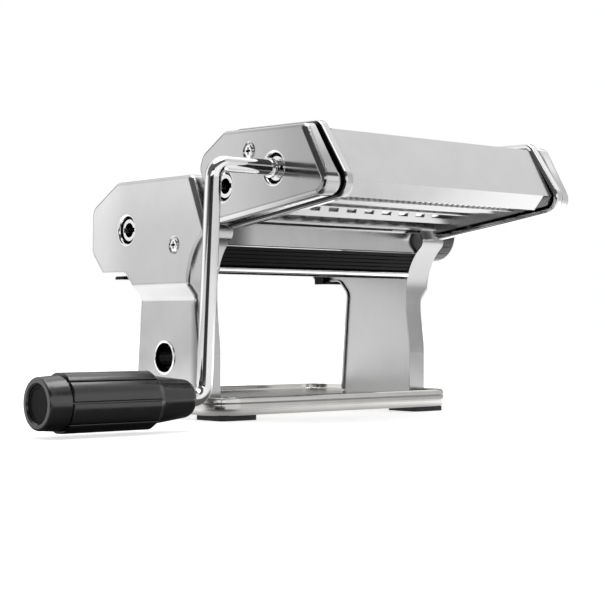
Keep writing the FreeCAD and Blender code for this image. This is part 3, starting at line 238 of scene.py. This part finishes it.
# the cover, cap, sheet and base tones carry painted light and shade; the eyelet, roller and screw materials carry
# painted shade
M = {
    "cover": metal("satin_cover_steel", 0.59, 0.20, 0.035, grain=(1, 0.05, 1), grain_h=0.10, painted_light=cover_painted_light),
    "cap": metal("polished_cap_steel", 0.50, 0.12, 0.02, grain=(1, 0.05, 1), grain_h=0.03, painted_light=cap_painted_light),
    "panel": metal("satin_panel_steel", 0.61, 0.20, 0.03, grain=(0.04, 1, 1), grain_h=0.12),
    "sheet": metal("front_sheet_steel", 0.55, 0.16, 0.03, grain=(0.04, 1, 1), grain_h=0.06, painted_light=sheet_painted_shadow),
    "base": metal("base_steel", 0.65, 0.16, 0.03, grain=(0.05, 1, 1), grain_h=0.06, tint=(1.0, 0.985, 0.96), painted_light=base_painted_shade),
    "chrome": metal("chrome", 0.94, 0.06, 0.02),
    # the bore of the clamp hole is painted near-black, a painted shade
    "eyelet": metal("eyelet_steel", 0.88, 0.08, 0.02, painted_shade=lambda nt: hole(nt, -6.1, 32.4, 8.25, 0, 83.7)),
    # the socket bores in the roller ends are painted near-black, a painted shade
    "drive_roller": metal("drive_roller_metal", 0.78, 0.22, 0.04, grain=(1, 0.02, 0.02), grain_h=0.1,
                          painted_shade=lambda nt: hole(nt, 22.8, 102.4, 4.3, 0, 87.1)),
    "narrow_roller": metal("narrow_roller_metal", 0.78, 0.22, 0.04, grain=(1, 0.02, 0.02), grain_h=0.1,
                           painted_shade=lambda nt: hole(nt, -105.4, 126.7, 4.3, 0, 87.1)),
    "wide_roller": metal("wide_roller_metal", 0.78, 0.22, 0.04, grain=(1, 0.02, 0.02), grain_h=0.1,
                         painted_shade=lambda nt: hole(nt, -64.4, 120.8, 4.3, 0, 87.1)),
    "rod": metal("crank_steel", 0.86, 0.05, 0.015),
    "ring": metal("ring_steel", 0.85, 0.10, 0.03),
    "plate": metal("plated_frame_steel", 0.55, 0.34, 0.05, grain=(1, 0.08, 1), grain_h=0.15),
    "roller": metal("roller_metal", 0.78, 0.22, 0.04, grain=(1, 0.02, 0.02), grain_h=0.1),
    "gear": metal("gear_steel", 0.45, 0.38, 0.06),
    "bronze": metal("bush_bronze", 0.62, 0.35, 0.06, tint=(1.0, 0.72, 0.42)),
    "screw": metal("screw_chrome", 0.85, 0.09, 0.03, painted_shade=screw_painted_shade),
    "guard": plastic("black_guard", (0.002, 0.002, 0.0022), 0.22, 1500.0, 0.05, spec=0.10),
    "grip": plastic("grip_plastic", (0.0035, 0.0035, 0.004), 0.21, 2600.0, 0.07, spec=1.0),
    "plug": plastic("grip_plug_plastic", (0.004, 0.004, 0.0045), 0.40, 2600.0, 0.12, spec=0.08),
    "knob": plastic("knob_plastic", (0.018, 0.018, 0.020), 0.32, 2600.0, 0.10),
    "rubber": plastic("foot_rubber", (0.020, 0.020, 0.021), 0.70, 1800.0, 0.30),
}
USE = {
    "cover": ["crank_side_cover", "knob_side_cover"],
    "cap": ["cutter_cap_crank_side", "cutter_cap_knob_side"],
    "panel": ["cutter_front_panel", "cutter_back_panel", "cutter_feed_divider", "rear_cover_sheet"],
    "sheet": ["front_cover_sheet"],
    "base": ["base_tray"],
    "chrome": ["front_lower_bar"],
    "eyelet": ["clamp_hole_eyelet"],
    "drive_roller": ["drive_roller"],
    "narrow_roller": ["narrow_cutter_drive_roller"],
    "wide_roller": ["wide_cutter_drive_roller"],
    "rod": ["crank_rod"],
    "ring": ["drive_socket_ring", "cutter_socket_rings"],
    "plate": ["crank_side_frame_plate", "knob_side_frame_plate", "frame_tie_rods", "cover_standoffs",
              "cutter_end_plate_crank_side", "cutter_end_plate_knob_side", "cutter_tie_rods", "cutter_rails",
              "drive_roller_scraper", "adjustable_roller_scraper", "narrow_cutter_combs", "wide_cutter_combs",
              "setting_shaft", "setting_cams", "roller_return_springs", "knob_spring", "roller_bearing_blocks"],
    "roller": ["adjustable_roller", "narrow_cutter_follower_roller", "wide_cutter_follower_roller"],
    "gear": ["drive_roller_gear", "adjustable_roller_gear", "narrow_cutter_drive_gear", "narrow_cutter_follower_gear",
             "wide_cutter_drive_gear", "wide_cutter_follower_gear"],
    "bronze": ["drive_roller_bushes", "cutter_roller_bushes"],
    "screw": ["cover_screws", "frame_screws", "base_screws", "cutter_cap_screws", "cutter_frame_screws",
              "knob_retaining_screw", "crank_key_pin"],
    "guard": ["front_guard", "rear_guard"],
    "grip": ["crank_grip"],
    "plug": ["grip_end_plug"],
    "knob": ["thickness_knob"],
    "rubber": ["rubber_feet"],
}
for key, names in USE.items():
    for n in names:
        o = NODES[n]
        o.data.materials.clear()
        o.data.materials.append(M[key])


def smooth_by_angle(o, degrees=32.0):
    """Round faces shade round and real edges stay sharp."""
    me = o.data
    me.polygons.foreach_set("use_smooth", [True] * len(me.polygons))
    bm = bmesh.new()
    bm.from_mesh(me)
    lim = math.radians(degrees)
    sharp = [e.index for e in bm.edges if len(e.link_faces) != 2 or e.calc_face_angle(0.0) > lim]
    bm.free()
    flags = [False] * len(me.edges)
    for i in sharp:
        flags[i] = True
    a = me.attributes.get("sharp_edge") or me.attributes.new("sharp_edge", "BOOLEAN", "EDGE")
    a.data.foreach_set("value", flags)
    me.update()


print("verts", {n: len(o.data.vertices) for n, o in NODES.items() if len(o.data.vertices) > 4000})
for o in NODES.values():
    smooth_by_angle(o)

# ---------------------------------------------------------------- floor
def floor():
    """Wide pale table. For reflection rays only, its colour is painted near-black on the front left, a painted dark
    reflection that polished steel picks up, and dark round the crank grip, a painted shadow.
    """
    me = bpy.data.meshes.new("floor")
    s = 30.0
    me.from_pydata([(-s, -s, 0), (s, -s, 0), (s, s, 0), (-s, s, 0)], [], [(0, 1, 2, 3)])
    o = bpy.data.objects.new("floor", me)
    scene.collection.objects.link(o)
    m, nt, b = new_mat("pale_floor")
    f = noise(nt, coords(nt), 3.0, 2.0)
    pale = ramp(nt, f, (0.90, 0.90, 0.90), (0.93, 0.93, 0.93))
    geo = nt.nodes.new("ShaderNodeNewGeometry")
    off = nt.nodes.new("ShaderNodeVectorMath")
    off.operation = "SUBTRACT"
    off.inputs[1].default_value = (-0.045, -0.050, 0.0)
    nt.links.new(geo.outputs["Position"], off.inputs[0])
    way = nt.nodes.new("ShaderNodeVectorMath")
    way.operation = "NORMALIZE"
    nt.links.new(off.outputs[0], way.inputs[0])
    d = nt.nodes.new("ShaderNodeVectorMath")
    d.operation = "DOT_PRODUCT"
    d.inputs[1].default_value = (math.cos(math.radians(-143)), math.sin(math.radians(-143)), 0.0)
    nt.links.new(way.outputs[0], d.inputs[0])
    gone = nt.nodes.new("ShaderNodeVectorMath")
    gone.operation = "LENGTH"
    nt.links.new(off.outputs[0], gone.inputs[0])
    # far: the floor on the front left, from 0.10 m out, which reflection rays see painted dark
    far = math_node(nt, "MULTIPLY", smooth(nt, d.outputs["Value"], math.cos(math.radians(27)), math.cos(math.radians(18))),
                    smooth(nt, gone.outputs["Value"], 0.10, 0.22))
    lp = nt.nodes.new("ShaderNodeLightPath")
    grip = nt.nodes.new("ShaderNodeVectorMath")
    grip.operation = "DISTANCE"
    grip.inputs[1].default_value = (-0.100, -0.066, 0.0)
    nt.links.new(geo.outputs["Position"], grip.inputs[0])
    # round the crank grip reflection rays see the floor painted dark as well, a painted shadow
    dark = math_node(nt, "MAXIMUM", far, smooth(nt, grip.outputs["Value"], 0.06, 0.13, 0.85, 0.0))
    painted_reflection_dark = math_node(nt, "MULTIPLY", dark, lp.outputs["Is Glossy Ray"])
    mix = nt.nodes.new("ShaderNodeMixRGB")
    mix.inputs["Color2"].default_value = (0.02, 0.02, 0.02, 1)
    nt.links.new(painted_reflection_dark, mix.inputs["Fac"])
    nt.links.new(pale, mix.inputs["Color1"])
    nt.links.new(mix.outputs[0], b.inputs["Base Color"])
    b.inputs["Roughness"].default_value = 0.9
    b.inputs["Specular IOR Level"].default_value = 0.1
    # the table is lit until it is as white as the backdrop; for reflection rays only it also glows, brightest close
    # by, a painted glow that polished steel shows as a reflection of light
    near = nt.nodes.new("ShaderNodeVectorMath")
    near.operation = "LENGTH"
    nt.links.new(geo.outputs["Position"], near.inputs[0])
    glow = math_node(nt, "MULTIPLY", smooth(nt, near.outputs["Value"], 0.25, 0.9, NEAR_GLOW, 0.0),
                     math_node(nt, "SUBTRACT", 1.0, far))
    beside = nt.nodes.new("ShaderNodeVectorMath")
    beside.operation = "DOT_PRODUCT"
    beside.inputs[1].default_value = (0.6, 0.8, 0.0)
    nt.links.new(geo.outputs["Position"], beside.inputs[0])
    glow = math_node(nt, "MULTIPLY", glow, smooth(nt, beside.outputs["Value"], -0.08, 0.0))
    glow = math_node(nt, "MULTIPLY", glow, lp.outputs["Is Glossy Ray"])
    lift = math_node(nt, "MULTIPLY", lp.outputs["Is Camera Ray"], FLOOR_LIFT)
    b.inputs["Emission Color"].default_value = (1, 1, 1, 1)
    nt.links.new(math_node(nt, "ADD", glow, lift), b.inputs["Emission Strength"])
    me.materials.append(m)
    return o


FLOOR_LIFT = 0.62
NEAR_GLOW = 0.75
floor()

# ---------------------------------------------------------------- studio
world = bpy.data.worlds.new("studio")
scene.world = world
world.use_nodes = True
wt = world.node_tree
wt.nodes.clear()
out = wt.nodes.new("ShaderNodeOutputWorld")
bg = wt.nodes.new("ShaderNodeBackground")
bg_cam = wt.nodes.new("ShaderNodeBackground")
mix = wt.nodes.new("ShaderNodeMixShader")
lp = wt.nodes.new("ShaderNodeLightPath")
tc = wt.nodes.new("ShaderNodeTexCoord")
sep = wt.nodes.new("ShaderNodeSeparateXYZ")
wt.links.new(tc.outputs["Generated"], sep.inputs[0])
flat = wt.nodes.new("ShaderNodeCombineXYZ")
wt.links.new(sep.outputs["X"], flat.inputs["X"])
wt.links.new(sep.outputs["Y"], flat.inputs["Y"])
unit = wt.nodes.new("ShaderNodeVectorMath")
unit.operation = "NORMALIZE"
wt.links.new(flat.outputs[0], unit.inputs[0])
UP = sep.outputs["Z"]


def toward(az, inner, outer):
    """1 within inner degrees of the compass direction az (0 = +X, 90 = +Y), 0 beyond outer degrees."""
    d = wt.nodes.new("ShaderNodeVectorMath")
    d.operation = "DOT_PRODUCT"
    a = math.radians(az)
    d.inputs[1].default_value = (math.cos(a), math.sin(a), 0.0)
    wt.links.new(unit.outputs[0], d.inputs[0])
    return smooth(wt, d.outputs["Value"], math.cos(math.radians(outer)), math.cos(math.radians(inner)))


def height(lo, hi):
    """0 below the elevation lo, 1 above hi (degrees)."""
    return smooth(wt, UP, math.sin(math.radians(lo)), math.sin(math.radians(hi)))


def blend(level, target, *masks):
    """Move the level towards target where every mask is 1."""
    f = masks[0]
    for m_ in masks[1:]:
        f = math_node(wt, "MULTIPLY", f, m_)
    r = wt.nodes.new("ShaderNodeMixRGB")
    wt.links.new(f, r.inputs["Fac"])
    if isinstance(level, (int, float)):
        r.inputs["Color1"].default_value = (level, level, level, 1)
    else:
        wt.links.new(level, r.inputs["Color1"])
    r.inputs["Color2"].default_value = (target, target, target, 1)
    return r.outputs[0]


def inverse(mask):
    return math_node(wt, "SUBTRACT", 1.0, mask)


# window on the front side, grey wall on the right, softbox on the far left
lev = blend(0.66, 1.02, toward(-88, 25, 45))
lev = blend(lev, 0.37, toward(70, 20, 75))
lev = blend(lev, 1.14, toward(126, 9, 34))
# dark corner left of the table and the dark side of the room
lev = blend(lev, 0.07, toward(195, 3, 45))
lev = blend(lev, 0.012, toward(-142, 18, 24))
lev = blend(lev, 1.25, toward(-142, 20, 28), height(7, 9), inverse(height(22, 25)))
# a dark rail along the far wall
lev = blend(lev, 0.05, toward(52, 8, 18), height(8, 10), inverse(height(15, 19)))
# lit wall and ceiling on the knob side and behind the machine
lev = blend(lev, 0.90, toward(92, 25, 50), height(22, 30))
lev = blend(lev, 1.25, toward(32, 22, 72), height(28, 40))
# above the side walls the front left of the room is dark
lev = blend(lev, 0.10, toward(-140, 75, 95), height(26, 36))
lev = blend(lev, 0.12, toward(172, 22, 42), height(9, 16))
# soft box overhead
lev = blend(lev, 1.25, height(56, 63))
wt.links.new(lev, bg.inputs["Color"])
bg.inputs["Strength"].default_value = 1.0
bg_cam.inputs["Color"].default_value = (1, 1, 1, 1)
bg_cam.inputs["Strength"].default_value = 1.0
wt.links.new(lp.outputs["Is Camera Ray"], mix.inputs["Fac"])
wt.links.new(bg.outputs[0], mix.inputs[1])
wt.links.new(bg_cam.outputs[0], mix.inputs[2])
wt.links.new(mix.outputs[0], out.inputs["Surface"])


def area(name, loc, target, size, power):
    l = bpy.data.lights.new(name, "AREA")
    l.shape = "RECTANGLE"
    l.size, l.size_y = size
    l.energy = power
    o = bpy.data.objects.new(name, l)
    scene.collection.objects.link(o)
    o.location = loc
    o.rotation_mode = "QUATERNION"
    o.rotation_quaternion = (Vector(target) - Vector(loc)).to_track_quat("-Z", "Y")
    return o


area("top_softbox", (0.15, -0.1, 1.2), (0, 0, 0.05), (0.9, 0.7), 5.0)

# ---------------------------------------------------------------- camera
cam = bpy.data.cameras.new("photo_camera")
cam.sensor_width = 36.0
cam.lens = 1531.0 * 36.0 / 605.0
cam.clip_start, cam.clip_end = 0.01, 100.0
camo = bpy.data.objects.new("photo_camera", cam)
scene.collection.objects.link(camo)
camo.location = W(-562.912, -684.160, 49.971)
az, pitch = math.radians(-40.4), math.radians(0.84)
F = Vector((-math.sin(az) * math.cos(pitch), math.cos(az) * math.cos(pitch), math.sin(pitch)))
camo.rotation_mode = "QUATERNION"
camo.rotation_quaternion = F.to_track_quat("-Z", "Y")
scene.camera = camo
scene.view_settings.view_transform = "Standard"
scene.view_settings.look = "None"
scene.view_settings.exposure = 0.0
scene.view_settings.gamma = 1.0
